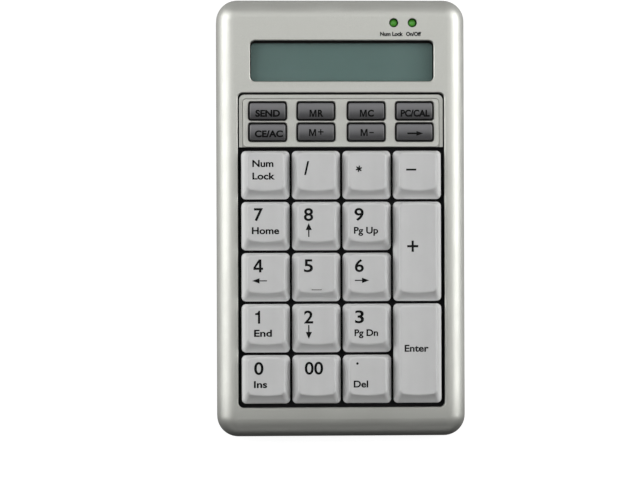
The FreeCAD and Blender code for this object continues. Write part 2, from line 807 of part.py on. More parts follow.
def function_panel():
    """The raised plate at the rear of the bay, with a hole for each function button."""
    body = new_body("function_panel")
    centre, length = "(panel_front + panel_rear) / 2", "(panel_rear - panel_front)"
    rim = outline(body, "-frame_top")
    add_rounded_rectangle(rim, "0", centre, "panel_width", length, "panel_corner")
    pad(body, rim, "frame_top - panel_rim")
    square_front = outline(body, "-frame_top")
    add_rectangle(square_front, "0", "panel_front + panel_corner", "panel_width", "2 * panel_corner")
    pad(body, square_front, "frame_top - panel_rim")
    field = outline(body, "-panel_rim")
    add_rounded_rectangle(field, "0", f"{centre} - panel_border / 2",
                          "panel_width - 2 * panel_border", f"{length} - panel_border", "field_corner")
    pad(body, field, "panel_rim - panel_field")
    add_panel_groove(body, centre, length)
    under = outline(body, "-frame_top")
    add_rounded_rectangle(under, "0", centre, "panel_width - 2.4", f"{length} - 2.4", "0.6")
    pocket(body, under, "frame_top - panel_underside", up=True)
    holes = outline(body)
    for name, across, along in button_places():
        add_rounded_rectangle(holes, across, along, "hole_width", "hole_length", "hole_corner")
    opened = pocket(body, holes, "frame_top")
    dress(body, "Chamfer", opened, "0.2", flat_at("-panel_field"))


def add_panel_groove(body, centre, length):
    """A fine groove round the raised field on three sides; the loop runs out at the front."""
    groove = outline(body)
    overrun = 2
    for margin in ["0", "panel_groove"]:
        add_rounded_rectangle(
            groove, "0", f"{centre} - (panel_border + {overrun} - {margin}) / 2",
            f"panel_width - 2 * panel_border + 2 * {margin}",
            f"{length} - panel_border + {overrun} + {margin}", f"field_corner + {margin}")
    pocket(body, groove, "panel_rim + panel_groove")


def function_button(name, across, along):
    """A crowned button on a flange that stops it under the panel, with a plunger below."""
    body = new_body(name, across, along)
    flange = outline(body, "-flange_bottom")
    add_rounded_rectangle(flange, "0", "0", "flange_width", "flange_length", "0.8")
    pad(body, flange, "flange_bottom - flange_top")
    cap = outline(body, "-flange_bottom")
    add_rounded_rectangle(cap, "0", "0", "button_width", "button_length", "0.7")
    pad(body, cap, "flange_bottom + button_rise")
    crown = outline(body, plane="YZ_Plane")
    for radius in ["button_crown", "1.5 * button_crown"]:
        add_circle(crown, "0", "button_rise - button_crown", f"2 * {radius}")
    crowned = pocket(body, crown, "button_width + 1", both=True)
    above_panel = size("button_rise - button_length ^ 2 / (8 * button_crown)") - 0.1
    dress(body, "Fillet", crowned, "button_edge", lambda edge: edge.BoundBox.ZMin > above_panel)
    plunger = outline(body, "-flange_bottom")
    add_circle(plunger, "0", "0", "plunger_diameter")
    pad(body, plunger, "button_travel", down=True)


def function_keymat():
    """The rubber mat on the circuit board, with one small dome under each function button."""
    body = new_body("function_keymat")
    mat = outline(body, "-board_top")
    add_rounded_rectangle(mat, "0", "(button_rear + button_front) / 2", "keymat_width",
                          "keymat_length", "1")
    pad(body, mat, "keymat_thickness")
    domes = outline(body, "-board_top")
    for name, across, along in button_places():
        add_circle(domes, across, along, "button_dome_diameter")
    pad(body, domes, "button_dome_height", slope=20)
    hollows = outline(body, "-board_top")
    for name, across, along in button_places():
        add_circle(hollows, across, along, "button_dome_diameter - 1.6")
    pocket(body, hollows, "button_dome_height - 0.8", up=True, slope=15)


def main_board():
    def draw(sketch):
        wide, narrow = "board_width / 2", "board_tongue / 2"
        add_polygon(sketch, [
            (f"-{wide}", "board_front"), (wide, "board_front"), (wide, "board_shoulder"),
            (narrow, "board_shoulder"), (narrow, "board_rear"), (f"-{narrow}", "board_rear"),
            (f"-{narrow}", "board_shoulder"), (f"-{wide}", "board_shoulder")])
        for across, along in BOARD_SCREWS:
            add_circle(sketch, across, along, "2.4")
        for across in ["lamp_left", "lamp_right"]:
            for leg in LAMP_LEGS:
                add_rectangle(sketch, f"{across} + {leg}", "lamp_row", "lamp_leg_hole", "lamp_leg_hole")

    slab("main_board", "board_top", "board_thickness", draw)


def board_parts():
    """The chips, the socket of the membrane's tail and the cable's plug header."""
    underside = "board_top + board_thickness"

    def draw_chips(sketch):
        for across, along, width, length in CHIPS:
            add_rectangle(sketch, across, along, width, length)

    slab("board_chips", underside, "1.5", draw_chips)
    socket = slab("tail_connector", underside, "1.8",
                  lambda sketch: add_rectangle(sketch, "-18", "31.5", "25", "5"))
    slot = outline(socket, f"-({FILM_BOTTOM} + 0.15)")
    add_rectangle(slot, "-18", "stack_rear + 2", "22.6", "9")
    pocket(socket, slot, "film_thickness + 0.3", up=True)
    header = slab("cable_header", underside, "3.4",
                  lambda sketch: add_rectangle(sketch, "-2", "71", "12", "5.6"))
    mouth = outline(header, "-74", plane="XZ_Plane")
    add_rectangle(mouth, "-2", f"-({underside}) - 1.8", "10.4", "2")
    pocket(header, mouth, "4.2", up=True)


def display():
    """The window pane, the glass cell, its holder and the two contact strips."""
    slab("lcd_window", "wall", "lens_thickness", lambda sketch: add_rounded_rectangle(
        sketch, "window_across", "window_centre", "window_width + 3.4", "window_length + 3.4", "1.5"))
    slab("lcd_glass", "glass_top", "glass_bottom - glass_top", lambda sketch: add_rectangle(
        sketch, "window_across", "window_centre", "window_width + 2.4", "window_length + 1.8"))

    def draw_holder(sketch):
        add_rounded_rectangle(sketch, "window_across", "window_centre", "window_width + 5.6",
                              "window_length + 4.6", "1")
        add_rectangle(sketch, "window_across", "window_centre", "window_width + 3",
                      "window_length + 2.4")

    slab("lcd_holder", "wall + lens_thickness", "board_top - wall - lens_thickness", draw_holder)

    def draw_strips(sketch):
        for side in [-1, 1]:
            along = f"window_centre + {side} * (window_length / 2 - 0.4)"
            add_rectangle(sketch, "window_across", along, "68", "1.8")

    slab("contact_strips", "glass_bottom", "board_top - glass_bottom", draw_strips)


def lamp(name, across):
    """A round-nosed lamp on a collar, with two legs through the board."""
    body = new_body(name, across, "lamp_row")
    collar = outline(body, "-lamp_base")
    add_circle(collar, "0", "0", "lamp_collar")
    pad(body, collar, "lamp_collar_height")
    lens = outline(body, "-lamp_base")
    add_circle(lens, "0", "0", "lamp_diameter")
    raised = pad(body, lens, "lamp_base - lamp_top")
    dress(body, "Fillet", raised, "0.47 * lamp_diameter", flat_at("-lamp_top"))
    legs = outline(body, "-lamp_base")
    for place in LAMP_LEGS:
        add_rectangle(legs, place, "0", "lamp_leg", "lamp_leg")
    pad(body, legs, "board_top + board_thickness - lamp_base + 0.6", down=True)


def lamp_spacers():
    def draw(sketch):
        for across in ["lamp_left", "lamp_right"]:
            add_circle(sketch, across, "lamp_row", "lamp_collar")
            for leg in LAMP_LEGS:
                add_rectangle(sketch, f"{across} + {leg}", "lamp_row", "lamp_leg_hole", "lamp_leg_hole")

    slab("lamp_spacers", "lamp_base", "board_top - lamp_base", draw)


# ---------------------------------------------------------------- feet, cable entry and screws

def cable_gland():
    """The rubber bush in the rear wall, bored for the cable."""
    body = new_body("cable_gland")
    side = outline(body, plane="YZ_Plane")
    inner, outer = "case_length / 2 - wall", "case_length / 2"
    bore, neck, flange = "gland_bore / 2", "gland_neck / 2", "gland_flange / 2"
    profile = [(f"{inner} - 1.2", bore), (f"{outer} + 0.3", bore), (f"{outer} + 0.3", flange),
               (outer, flange), (outer, neck), (inner, neck), (inner, flange),
               (f"{inner} - 1.2", flange)]
    add_polygon(side, [(along, f"({radius}) - gland_depth") for along, radius in profile])
    axis_line = len(side.Geometry)
    side.addGeometry(Part.LineSegment(Vector(0, -size("gland_depth"), 0),
                                      Vector(1, -size("gland_depth"), 0)), True)
    side.addConstraint(Sketcher.Constraint("Horizontal", axis_line))
    hold(side, "DistanceY", -1, 1, axis_line, 1, value="-gland_depth")
    turned = feature(body, "Revolution", side)
    turned.ReferenceAxis = (side, ["Axis0"])
    turned.Angle = 360
    settle(turned, grows=True)


def rubber_feet():
    body = new_body("rubber_feet", on_deck=False)
    pads = outline(body)
    for across, along in RUBBER_PADS:
        add_circle(pads, across, along, "pad_diameter")
    solid = pad(body, pads, "base_level")
    dress(body, "Chamfer", solid, "0.25", flat_at("0"))


def tilt_foot(side, across):
    """A flap that folds into the floor and turns down about a pin at its rear end."""
    body = new_body(f"tilt_foot_{side}", on_deck=False)
    body.setExpression("Placement.Base.x", bound(across))
    body.setExpression("Placement.Base.y", bound("foot_pin_y"))
    body.setExpression("Placement.Base.z", bound("foot_pin_z"))
    hub = outline(body, plane="YZ_Plane")
    add_circle(hub, "0", "0", "foot_thickness + 0.8")
    pad(body, hub, "foot_width", both=True)
    pins = outline(body, plane="YZ_Plane")
    add_circle(pins, "0", "0", "foot_pin_diameter")
    pad(body, pins, "recess_width + 2.0", both=True)
    flap = outline(body, "-foot_thickness / 2")
    add_rounded_rectangle(flap, "0", "-foot_length / 2 + 0.8", "foot_width", "foot_length - 1.6", "0.7")
    pad(body, flap, "foot_thickness")
    relief = outline(body, "-foot_thickness / 2")
    add_rounded_rectangle(
        relief, "0", "-foot_length / 2 + 1.2", "foot_width - 5", "foot_length - 9", "1.5")
    pocket(body, relief, "foot_thickness * 0.5", up=True)

    tip = new_body(f"tilt_tip_{side}", on_deck=False)
    tip.setExpression("Placement.Base.x", bound(across))
    tip.setExpression("Placement.Base.y", bound("foot_pin_y"))
    tip.setExpression("Placement.Base.z", bound("foot_pin_z"))
    block = outline(tip, "-foot_thickness / 2")
    add_rounded_rectangle(block, "0", "-foot_length + 0.8", "foot_width - 1", "1.6", "0.6")
    pad(tip, block, "foot_thickness")


def screws(name, places, bearing, head_diameter, head_height, shaft_diameter, shaft_length):
    """A set of alike cross-head screws that are driven upwards from below."""
    body = new_body(name)
    heads = outline(body, f"-({bearing})")
    for across, along in places:
        add_circle(heads, across, along, head_diameter)
    solid = pad(body, heads, head_height, down=True)
    dress(body, "Chamfer", solid, "0.3", flat_at(f"-({bearing}) - {head_height}"))
    shafts = outline(body, f"-({bearing})")
    for across, along in places:
        add_circle(shafts, across, along, shaft_diameter)
    pad(body, shafts, shaft_length)
    recess = outline(body, f"-({bearing}) - {head_height}")
    for across, along in places:
        add_cross(recess, across, along, f"{head_diameter} * 0.5", "0.5")
    pocket(body, recess, f"{head_height} * 0.7", up=True)


# ---------------------------------------------------------------- build, check and export

top_case()
bottom_case()
function_panel()
for name, across, along, rows in key_places():
    keycap(name, across, along, rows)
    if rows > 1:
        stabilizer(name.replace("key", "stabilizer"), across, along)
for name, across, along in button_places():
    function_button(name, across, along)
key_frame()
dome_sheet()
membrane()
backing_plate()
function_keymat()
main_board()
board_parts()
display()
lamp("lamp_num_lock", "lamp_left")
lamp("lamp_power", "lamp_right")
lamp_spacers()
cable_gland()
rubber_feet()
tilt_foot("left", "-foot_x")
tilt_foot("right", "foot_x")
screws("case_screws", CASE_SCREWS, "head_seat_depth", "4.4", "1.3", "2.0", "7.4")
screws("frame_screws", FRAME_SCREWS, PLATE_BOTTOM, "3.6", "1.0", "1.6", "4.4")
screws("board_screws", BOARD_SCREWS, "board_top + board_thickness", "3.8", "1.1", "2.0", "5")

doc.recompute()
for item in doc.Objects:
    if "Invalid" in item.State or "Error" in item.State:
        raise SystemExit(f"{item.Label} failed: {item.State}")
os.makedirs("parts", exist_ok=True)
for piece in pieces:
    if piece.Shape.isNull() or not piece.Shape.isValid():
        raise SystemExit(f"{piece.Label} has no valid shape")
    piece.Shape.exportStep(f"parts/{piece.Label}.step")
whole = Part.makeCompound([piece.Shape for piece in pieces]).BoundBox
print(len(pieces), "pieces", whole)
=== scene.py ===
import math

import bmesh
import bpy
from mathutils import Matrix, Vector


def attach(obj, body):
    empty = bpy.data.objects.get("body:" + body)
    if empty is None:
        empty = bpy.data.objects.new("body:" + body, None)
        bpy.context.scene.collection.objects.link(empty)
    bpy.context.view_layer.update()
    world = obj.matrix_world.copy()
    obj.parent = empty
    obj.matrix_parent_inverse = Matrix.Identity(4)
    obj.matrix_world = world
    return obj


# The looks of a numeric keypad around its imported CAD model. Every CAD piece gets a procedural material,
# some with painted light and shade in their colour, and printed legends are laid on the keys, the buttons
# and the deck, along with two painted shadows, at the 5 key's homing bar and round the display window. Then
# come the floor, the lights and the camera. Sizes of the keypad are in millimetres, measured along and over
# its sloping deck, and are multiplied by MM for Blender. The studio is laid out in metres.

MM = 0.001
DECK_TILT = math.radians(2.5)
DECK_SHIFT, DECK_HEIGHT = -0.66, 17.1
DECK = Matrix.Translation((0, DECK_SHIFT * MM, DECK_HEIGHT * MM)) @ Matrix.Rotation(DECK_TILT, 4, "X")

# Places on the deck, across and along it: the pitches of the keys, which stand in four columns
# about the middle, the rear row of keys, the function buttons and the display.
KEY_PITCH_ACROSS = 19.0
KEY_PITCH_ALONG = 19.15
MIDDLE_COLUMN = 1.5
REAR_ROW = 16.1
BUTTON_COLUMNS = (-27.6, -9.45, 9.45, 27.6)
BUTTON_ROWS = (40.1, 32.15)
DISPLAY_CENTRE = (0.4, 58.95)

# Heights over the deck, and the radii of the hollow key tops and the rounded button tops.
CAP_TOP = 4.6
DISH_RADIUS = 22.0
DISH_DEPTH = 1.15
BUTTON_TOP = 0.9
BUTTON_CROWN = 6.5
WINDOW_LEVEL = -2.17

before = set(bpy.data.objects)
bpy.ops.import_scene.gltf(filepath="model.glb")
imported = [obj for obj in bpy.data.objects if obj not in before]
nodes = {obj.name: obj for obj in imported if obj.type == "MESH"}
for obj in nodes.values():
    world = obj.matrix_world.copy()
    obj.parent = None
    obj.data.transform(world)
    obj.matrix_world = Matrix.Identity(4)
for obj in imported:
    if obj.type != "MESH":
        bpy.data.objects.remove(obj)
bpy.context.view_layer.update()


# ---------------------------------------------------------------- node material helpers

class Recipe:
    """A node material under construction, with short ways to add and join nodes."""

    def __init__(self, name):
        self.material = bpy.data.materials.new(name)
        self.material.use_nodes = True
        self.tree = self.material.node_tree
        self.shader = self.tree.nodes["Principled BSDF"]
        self.place = self.add("TexCoord").outputs["Object"]

    def add(self, kind, **settings):
        """A new shader node of a kind, with its own settings such as an operation."""
        node = self.tree.nodes.new("ShaderNode" + kind)
        for key, value in settings.items():
            setattr(node, key, value)
        return node

    def join(self, source, target):
        self.tree.links.new(source, target)

    def set(self, **sockets):
        """Set plain values on the shader, with underscores for the spaces in socket names."""
        for key, value in sockets.items():
            self.shader.inputs[key.replace("_", " ")].default_value = value

    def noise(self, size_mm, detail=3.0, roughness=0.55, stretch=(1, 1, 1)):
        """Noise whose grain is about size_mm across, as a value about 0.5."""
        spread = self.add("Mapping")
        spread.inputs["Scale"].default_value = [factor / (size_mm * MM) for factor in stretch]
        self.join(self.place, spread.inputs["Vector"])
        texture = self.add("TexNoise")
        texture.inputs["Scale"].default_value = 1.0
        texture.inputs["Detail"].default_value = detail
        texture.inputs["Roughness"].default_value = roughness
        self.join(spread.outputs["Vector"], texture.inputs["Vector"])
        return texture.outputs["Fac"]

    def remap(self, value, low, high, to_low, to_high):
        """The value stretched from one range to another, clamped at both ends."""
        node = self.add("MapRange", clamp=True)
        self.join(value, node.inputs["Value"])
        for name, number in zip(("From Min", "From Max", "To Min", "To Max"), (low, high, to_low, to_high)):
            node.inputs[name].default_value = number
        return node.outputs["Result"]

    def deck_level(self):
        """Height over the sloping deck, in millimetres; negative inside the case."""
        upright = DECK.to_3x3() @ Vector((0, 0, 1 / MM))
        reach = self.add("VectorMath", operation="DOT_PRODUCT")
        self.join(self.place, reach.inputs[0])
        reach.inputs[1].default_value = upright
        level = self.add("Math", operation="SUBTRACT")
        self.join(reach.outputs["Value"], level.inputs[0])
        level.inputs[1].default_value = DECK.translation @ upright
        return level.outputs["Value"]

    def along(self, axis):
        """The coordinate along an axis, in metres."""
        split = self.add("SeparateXYZ")
        self.join(self.place, split.inputs["Vector"])
        return split.outputs[axis]

    def beyond(self, axis, distance_mm, fade_mm=0.4):
        """0 near the object's middle and 1 farther out along an axis than the distance."""
        size = self.add("Math", operation="ABSOLUTE")
        self.join(self.along(axis), size.inputs[0])
        return self.remap(size.outputs["Value"], distance_mm * MM, (distance_mm + fade_mm) * MM, 0, 1)

    def facing(self, axis):
        """How far the surface faces along an axis, from -1 to 1."""
        split = self.add("SeparateXYZ")
        self.join(self.add("NewGeometry").outputs["Normal"], split.inputs["Vector"])
        return split.outputs[axis]

    def highest(self, first, *others):
        """The highest of several values."""
        for other in others:
            node = self.add("Math", operation="MAXIMUM")
            self.join(first, node.inputs[0])
            self.join(other, node.inputs[1])
            first = node.outputs["Value"]
        return first

    def blend(self, factor, first, second):
        """A mix of two colours, each a colour or a socket, by a factor socket."""
        node = self.add("Mix", data_type="RGBA")
        self.join(factor, node.inputs["Factor"])
        for name, colour in (("A", first), ("B", second)):
            socket = [i for i in node.inputs if i.name == name and i.type == "RGBA"][0]
            if isinstance(colour, tuple):
                socket.default_value = (*colour, 1)
            else:
                self.join(colour, socket)
        return [o for o in node.outputs if o.type == "RGBA"][0]

    def bump(self, height, strength, distance_mm, below=None):
        """A normal from a height value, on top of an earlier bump if one is given."""
        node = self.add("Bump")
        node.inputs["Strength"].default_value = strength
        node.inputs["Distance"].default_value = distance_mm * MM
        self.join(height, node.inputs["Height"])
        if below:
            self.join(below, node.inputs["Normal"])
        return node.outputs["Normal"]

    def finish(self, colour, roughness, normal):
        """Join the three results to the shader and hand back the material."""
        self.join(colour, self.shader.inputs["Base Color"])
        self.join(roughness, self.shader.inputs["Roughness"])
        self.join(normal, self.shader.inputs["Normal"])
        return self.material


def shade(colour, factor):
    """The colour made darker or lighter by a factor."""
    return tuple(channel * factor for channel in colour)


def moulded_plastic(name, colour, roughness, grain_mm, grain_strength, wear=0.06, specular=0.5,
                    painted_low_shading=None, lean=None):
    """Plastic with a spark-eroded grain, faint blotches of colour and handling shine.

    The shading low down and the lean paint light and shade into the colour. The shading low down is a
    factor on the colour low down, lighter above 1 and darker below it, and the deck levels in mm where it
    starts and ends. A lean is a pair of factors, for surfaces that slope to the front and to the rear, and
    takes the place of the blotches.
    """
    recipe = Recipe(name)
    recipe.set(Specular_IOR_Level=specular)
    # Painted light and shade by facing: the colour changes as the surface slopes to the front or to the
    # rear.
    if lean:
        rearward = recipe.remap(recipe.facing("Y"), -0.3, 0.3, 0, 1)
        tint = recipe.blend(rearward, shade(colour, lean[0]), shade(colour, lean[1]))
    else:
        blotches = recipe.remap(recipe.noise(9, detail=4), 0.35, 0.65, 0, 1)
        tint = recipe.blend(blotches, shade(colour, 1 - wear), shade(colour, 1 + wear))
        specks = recipe.remap(recipe.noise(0.25, detail=1), 0.68, 0.78, 0, 0.35)
        tint = recipe.blend(specks, tint, shade(colour, 0.72))
    # Painted light and shade low down, by a factor on the colour.
    if painted_low_shading:
        factor, low, high = painted_low_shading
        height = recipe.remap(recipe.deck_level(), low, high, 0, 1)
        tint = recipe.blend(height, shade(colour, factor), tint)
    handling = recipe.remap(recipe.noise(14, detail=5, roughness=0.65), 0.3, 0.7,
                            roughness - 0.07, roughness + 0.07)
    grain = recipe.bump(recipe.noise(grain_mm, detail=2), grain_strength, 0.03)
    waves = recipe.bump(recipe.noise(7, detail=1), 0.08, 0.12, below=grain)
    return recipe.finish(tint, handling, waves)


# Shading painted into the silver cover. Where the openings lie, it is dark below the first of two
# levels over the deck and plain above the second. The reaches are half sizes from the middle.
OPENING_LEVELS = (-1.5, -1.1)
OPENINGS_REACH_X, OPENINGS_REACH_Y = 39.5, 75
# The front strip darkens between two places along Y, and the front edge by how far it faces front.
FRONT_STRIP = (-76, -66)
FRONT_EDGE_SLOPES = (-0.85, -0.1)
OPENING_SHADE, FRONT_STRIP_SHADE, FRONT_EDGE_SHADE = 0.06, 0.72, 0.3


def silver_paint():
    """Satin metallic paint: fine flakes, a slight orange peel and a few dull smudges.

    It is shaded darker deep in the openings, along the front strip and on the steep front edge.
    """
    recipe = Recipe("silver_paint")
    base = (0.59, 0.595, 0.555)
    recipe.set(Metallic=0.55, Specular_IOR_Level=0.5, Coat_Weight=0.12, Coat_Roughness=0.3)
    flakes = recipe.remap(recipe.noise(0.16, detail=2), 0.35, 0.66, 0, 1)
    colour = recipe.blend(flakes, shade(base, 0.9), shade(base, 1.08))
    clouds = recipe.remap(recipe.noise(30, detail=3), 0.3, 0.7, 0, 0.5)
    colour = recipe.blend(clouds, colour, shade(base, 0.97))
    open_surface = recipe.highest(recipe.remap(recipe.deck_level(), *OPENING_LEVELS, 0, 1),
                                  recipe.beyond("X", OPENINGS_REACH_X),
                                  recipe.beyond("Y", OPENINGS_REACH_Y))
    colour = recipe.blend(open_surface, shade(base, OPENING_SHADE), colour)
    strip_front, strip_rear = FRONT_STRIP
    behind_strip = recipe.remap(recipe.along("Y"), strip_front * MM, strip_rear * MM, 0, 1)
    colour = recipe.blend(behind_strip, shade(base, FRONT_STRIP_SHADE), colour)
    off_edge = recipe.remap(recipe.facing("Y"), *FRONT_EDGE_SLOPES, 0, 1)
    colour = recipe.blend(off_edge, shade(base, FRONT_EDGE_SHADE), colour)
    smudges = recipe.remap(recipe.noise(11, detail=6, roughness=0.7), 0.4, 0.72, 0.44, 0.54)
    peel = recipe.bump(recipe.noise(1.3, detail=1), 0.12, 0.03)
    sparkle = recipe.bump(recipe.noise(0.14, detail=1), 0.25, 0.012, below=peel)
    return recipe.finish(colour, smudges, sparkle)


def brushed_metal(name, colour, roughness):
    """Plated steel with fine rolling lines along one direction."""
    recipe = Recipe(name)
    recipe.set(Metallic=1.0)
    lines = recipe.noise(0.3, detail=4, stretch=(1, 0.04, 1))
    tint = recipe.blend(recipe.remap(lines, 0.3, 0.7, 0, 1), shade(colour, 0.85), shade(colour, 1.1))
    rough = recipe.remap(recipe.noise(4), 0.3, 0.7, roughness - 0.05, roughness + 0.1)
    return recipe.finish(tint, rough, recipe.bump(lines, 0.2, 0.01))


def rubber(name, colour):
    """Matt rubber with a slight bloom and fine pits."""
    recipe = Recipe(name)
    recipe.set(Specular_IOR_Level=0.3)
    bloom = recipe.remap(recipe.noise(3, detail=5), 0.45, 0.75, 0, 0.5)
    bloomed = tuple(channel * 1.6 + 0.01 for channel in colour)
    tint = recipe.blend(bloom, colour, bloomed)
    rough = recipe.remap(recipe.noise(2), 0.3, 0.7, 0.72, 0.9)
    return recipe.finish(tint, rough, recipe.bump(recipe.noise(0.3), 0.35, 0.04))


def display_cell():
    """The grey-green face of a blank liquid crystal cell, faintly mottled and ruled."""
    recipe = Recipe("display_cell")
    recipe.set(Specular_IOR_Level=0.35)
    mottle = recipe.remap(recipe.noise(16, detail=2), 0.3, 0.7, 0, 1)
    face = recipe.blend(mottle, (0.070, 0.145, 0.134), (0.080, 0.158, 0.146))
    rule = recipe.remap(recipe.noise(0.22, detail=0, stretch=(1, 0.05, 1)), 0.4, 0.6, 0, 0.3)
    face = recipe.blend(rule, face, (0.064, 0.132, 0.122))
    rough = recipe.remap(recipe.noise(6), 0.3, 0.7, 0.4, 0.5)
    return recipe.finish(face, rough, recipe.bump(recipe.noise(0.5), 0.03, 0.01))


def clear_window():
    """A thin clear pane that lets the cell show, with a weak hazy gloss and light scuffs."""
    recipe = Recipe("clear_window")
    recipe.set(Alpha=0.09, Specular_IOR_Level=0.5)
    haze = recipe.remap(recipe.noise(20, detail=3), 0.35, 0.7, 0, 1)
    tint = recipe.blend(haze, (0.22, 0.26, 0.24), (0.28, 0.32, 0.3))
    rough = recipe.remap(recipe.noise(5, detail=6, roughness=0.7), 0.45, 0.75, 0.06, 0.2)
    return recipe.finish(tint, rough, recipe.bump(recipe.noise(1.5), 0.02, 0.01))


def lamp_epoxy():
    """Green tinted epoxy that glows weakly, with painted shade low down, a dark ring below the deck."""
    recipe = Recipe("lamp_epoxy")
    recipe.set(Specular_IOR_Level=0.6, Transmission_Weight=0.15, Emission_Strength=0.25)
    swirl = recipe.remap(recipe.noise(1.2, detail=2), 0.3, 0.7, 0, 1)
    tint = recipe.blend(swirl, (0.07, 0.33, 0.03), (0.10, 0.42, 0.05))
    # Painted shade: the lamp turns near black low down, below the deck.
    above_ring = recipe.remap(recipe.deck_level(), -2.1, -1.2, 0, 1)
    tint = recipe.blend(above_ring, (0.003, 0.02, 0.002), tint)
    recipe.join(tint, recipe.shader.inputs["Emission Color"])
    rough = recipe.remap(recipe.noise(0.8), 0.3, 0.7, 0.15, 0.28)
    return recipe.finish(tint, rough, recipe.bump(recipe.noise(0.6), 0.05, 0.02))


def circuit_board():
    """Green solder mask with faint copper tracks below it."""
    recipe = Recipe("circuit_board")
    tracks = recipe.add("TexBrick")
    tracks.inputs["Scale"].default_value = 1 / (2.4 * MM)
    tracks.inputs["Mortar Size"].default_value = 0.09
    recipe.join(recipe.place, tracks.inputs["Vector"])
    tint = recipe.blend(tracks.outputs["Fac"], (0.012, 0.09, 0.035), (0.03, 0.16, 0.06))
    rough = recipe.remap(recipe.noise(5), 0.3, 0.7, 0.28, 0.42)
    return recipe.finish(tint, rough, recipe.bump(tracks.outputs["Fac"], 0.4, 0.03))


def ink_and_painted_shadow(name, colour):
    """Pad-printed ink, also laid as painted shadow: slightly uneven cover and a soft sheen."""
    thin_cover = tuple(channel + 0.004 for channel in colour)
    recipe = Recipe(name)
    recipe.set(Specular_IOR_Level=0.12)
    cover = recipe.remap(recipe.noise(0.35, detail=3), 0.5, 0.8, 0, 0.5)
    tint = recipe.blend(cover, colour, thin_cover)
    rough = recipe.remap(recipe.noise(1.5), 0.3, 0.7, 0.45, 0.6)
    return recipe.finish(tint, rough, recipe.bump(recipe.noise(0.2), 0.1, 0.01))


# ---------------------------------------------------------------- materials on the CAD pieces

# A moulded plastic is given a name, a colour, a roughness, its grain's size in mm and strength.
SILVER = silver_paint()
# The keys have painted light low down on their sides; the buttons have painted shade low down, and painted
# light and shade by how they lean.
KEYCAP = moulded_plastic("keycap_plastic", (0.52, 0.522, 0.52), 0.46, 0.22, 0.3, wear=0.02,
                         painted_low_shading=(1.55, -1.0, 3.6))
BUTTON = moulded_plastic("button_plastic", (0.13, 0.13, 0.135), 0.42, 0.3, 0.2,
                         painted_low_shading=(0.03, -0.6, 0.3), lean=(0.5, 1.25))
FRAME_BLACK = moulded_plastic("frame_plastic", (0.008, 0.008, 0.009), 0.7, 0.4, 0.4, specular=0.2)
CHARCOAL = moulded_plastic("charcoal_plastic", (0.05, 0.052, 0.055), 0.5, 0.35, 0.6)
NYLON = moulded_plastic("nylon", (0.62, 0.6, 0.55), 0.45, 0.6, 0.2)
EPOXY = moulded_plastic("chip_epoxy", (0.02, 0.02, 0.02), 0.4, 0.2, 0.4)
FILM = moulded_plastic("polyester_film", (0.5, 0.52, 0.45), 0.3, 3, 0.1)
BLACK_RUBBER = rubber("black_rubber", (0.02, 0.02, 0.021))
SILICONE = rubber("silicone", (0.42, 0.42, 0.4))
KEYMAT = rubber("keymat_rubber", (0.3, 0.3, 0.31))
STEEL = brushed_metal("plated_steel", (0.6, 0.6, 0.62), 0.3)
CELL = display_cell()
WINDOW = clear_window()
LAMP = lamp_epoxy()
BOARD = circuit_board()
KEY_INK = ink_and_painted_shadow("key_ink", (0.002, 0.002, 0.002))
# This ink prints the labels and also lays the painted shadow round the display window.
LABEL_INK_AND_WINDOW_SHADOW = ink_and_painted_shadow("label_ink_and_window_shadow", (0.002, 0.002, 0.002))
# This ink colour is laid as painted shadow at the 5 key's homing bar.
HOMING_PAINTED_SHADOW = ink_and_painted_shadow("homing_painted_shadow", (0.06, 0.058, 0.052))

NODE_MATERIALS = {
    "top_case": SILVER, "function_panel": SILVER, "bottom_case": CHARCOAL,
    "tilt_foot_left": CHARCOAL, "tilt_foot_right": CHARCOAL,
    "tilt_tip_left": BLACK_RUBBER, "tilt_tip_right": BLACK_RUBBER,
    "rubber_feet": BLACK_RUBBER, "cable_gland": BLACK_RUBBER, "contact_strips": BLACK_RUBBER,
    "key_frame": FRAME_BLACK, "lcd_holder": FRAME_BLACK, "lcd_glass": CELL, "lcd_window": WINDOW,
    "lamp_num_lock": LAMP, "lamp_power": LAMP, "lamp_spacers": NYLON, "tail_connector": NYLON,
    "cable_header": NYLON, "board_chips": EPOXY, "main_board": BOARD, "dome_sheet": SILICONE,
    "function_keymat": KEYMAT, "membrane_upper": FILM, "membrane_spacer": FILM,
    "membrane_lower": FILM, "backing_plate": STEEL, "stabilizer_plus": STEEL,
    "stabilizer_enter": STEEL, "case_screws": STEEL, "frame_screws": STEEL, "board_screws": STEEL,
}


def material_of(name):
    """The material of a CAD piece; all keys share one, and so do all buttons."""
    if name.startswith("key_") and name != "key_frame":
        return KEYCAP
    if name.startswith("button_"):
        return BUTTON
    return NODE_MATERIALS[name]


for name, piece in nodes.items():
    piece.data.materials.clear()
    piece.data.materials.append(material_of(name))


# ---------------------------------------------------------------- printed legends and painted shadows

def key_dish(x_mm, y_mm):
    """Height over the deck of a key's top, which is hollowed across the key."""
    return CAP_TOP - DISH_DEPTH + DISH_RADIUS - math.sqrt(DISH_RADIUS ** 2 - x_mm ** 2)


def button_crown(x_mm, y_mm):
    """Height over the deck of a button's top, which is rounded from front to rear."""
    return BUTTON_TOP - BUTTON_CROWN + math.sqrt(BUTTON_CROWN ** 2 - y_mm ** 2)


def deck_surface(x_mm, y_mm):
    """Height over the deck of the deck itself."""
    return 0.0


def window_surface(x_mm, y_mm):
    """Height over the deck of the display window's face, just clear of it."""
    return WINDOW_LEVEL


